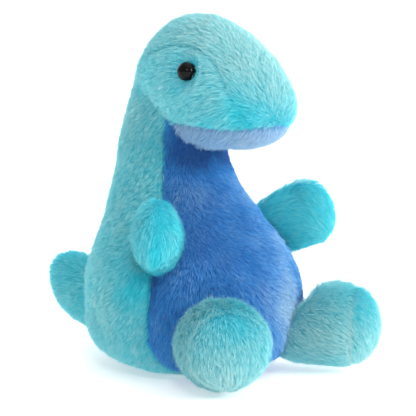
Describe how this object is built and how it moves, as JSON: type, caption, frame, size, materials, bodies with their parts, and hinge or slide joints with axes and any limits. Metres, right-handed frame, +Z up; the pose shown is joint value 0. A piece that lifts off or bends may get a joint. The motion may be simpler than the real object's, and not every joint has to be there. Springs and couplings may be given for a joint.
{
  "type": "plush dinosaur",
  "caption": "Sitting long-necked plush dinosaur with paddle arms, round feet, a stub tail and a bean pouch in the belly.",
  "frame": {"origin": "centre of the flat base panel's underside, on the surface that the toy sits on", "axes": "+Z up, the toy faces -Y, its own left side is +X, and X = 0 is its mirror plane"},
  "size_m": [0.0954, 0.1347, 0.1289],
  "materials": {
    "turquoise_plush": "short shaggy pile, turquoise with paler tips",
    "blue_plush": "short shaggy pile, mid blue with paler tips",
    "chin_plush": "short shaggy pile, pale periwinkle",
    "eye_plastic": "polished black",
    "washer_plastic": "natural moulded",
    "stuffing": "loose fibre",
    "pouch_lining": "plain woven lining",
    "pellets": "small beads"
  },
  "bodies": {
    "torso": {"body_side_panel_left": "turquoise_plush", "body_side_panel_right": "turquoise_plush", "belly_panel": "blue_plush", "base_panel": "turquoise_plush", "bean_pouch_lower": "pouch_lining", "bean_pouch_upper": "pouch_lining", "pellet_fill": "pellets", "body_stuffing": "stuffing"},
    "head": {"cheek_panel_left": "turquoise_plush", "cheek_panel_right": "turquoise_plush", "nape_panel_left": "turquoise_plush", "nape_panel_right": "turquoise_plush", "head_gusset": "turquoise_plush", "chin_panel": "chin_plush", "head_stuffing": "stuffing", "eye_left": "eye_plastic", "eye_right": "eye_plastic", "eye_washer_left": "washer_plastic", "eye_washer_right": "washer_plastic"},
    "arm_left": {"arm_inner_panel_left": "turquoise_plush", "arm_outer_panel_left": "turquoise_plush", "arm_stuffing_left": "stuffing"},
    "arm_right": {"arm_inner_panel_right": "turquoise_plush", "arm_outer_panel_right": "turquoise_plush", "arm_stuffing_right": "stuffing"},
    "leg_left": {"leg_inner_panel_left": "turquoise_plush", "leg_outer_panel_left": "turquoise_plush", "foot_sole_panel_left": "turquoise_plush", "leg_stuffing_left": "stuffing"},
    "leg_right": {"leg_inner_panel_right": "turquoise_plush", "leg_outer_panel_right": "turquoise_plush", "foot_sole_panel_right": "turquoise_plush", "leg_stuffing_right": "stuffing"},
    "tail": {"tail_panel_left": "turquoise_plush", "tail_panel_right": "turquoise_plush", "tail_stuffing": "stuffing"}
  },
  "joints": [
    {"name": "head_nod", "type": "hinge", "parent": "torso", "child": "head", "pos_m": [0, 0.012, 0.09], "axis": [1, 0, 0], "range_deg": [-10, 10], "stiffness_Nm_per_rad": 0.25},
    {"name": "arm_left_swing", "type": "hinge", "parent": "torso", "child": "arm_left", "pos_m": [0.0274, -0.0116, 0.0495], "axis": [-0.262, 0.2198, 0.9397], "range_deg": [-20, 20], "stiffness_Nm_per_rad": 0.012},
    {"name": "arm_right_swing", "type": "hinge", "parent": "torso", "child": "arm_right", "pos_m": [-0.0274, -0.0116, 0.0495], "axis": [-0.262, -0.2198, -0.9397], "range_deg": [-20, 20], "stiffness_Nm_per_rad": 0.012},
    {"name": "leg_left_lift", "type": "hinge", "parent": "torso", "child": "leg_left", "pos_m": [0.02013, -0.02985, 0.0174], "axis": [-0.829, -0.5592, 0], "range_deg": [0, 20], "stiffness_Nm_per_rad": 0.03},
    {"name": "leg_right_lift", "type": "hinge", "parent": "torso", "child": "leg_right", "pos_m": [-0.02013, -0.02985, 0.0174], "axis": [-0.829, 0.5592, 0], "range_deg": [0, 20], "stiffness_Nm_per_rad": 0.03},
    {"name": "tail_wag", "type": "hinge", "parent": "torso", "child": "tail", "pos_m": [0, 0.037, 0.019], "axis": [0, 0, 1], "range_deg": [-15, 15], "stiffness_Nm_per_rad": 0.02}
  ]
}
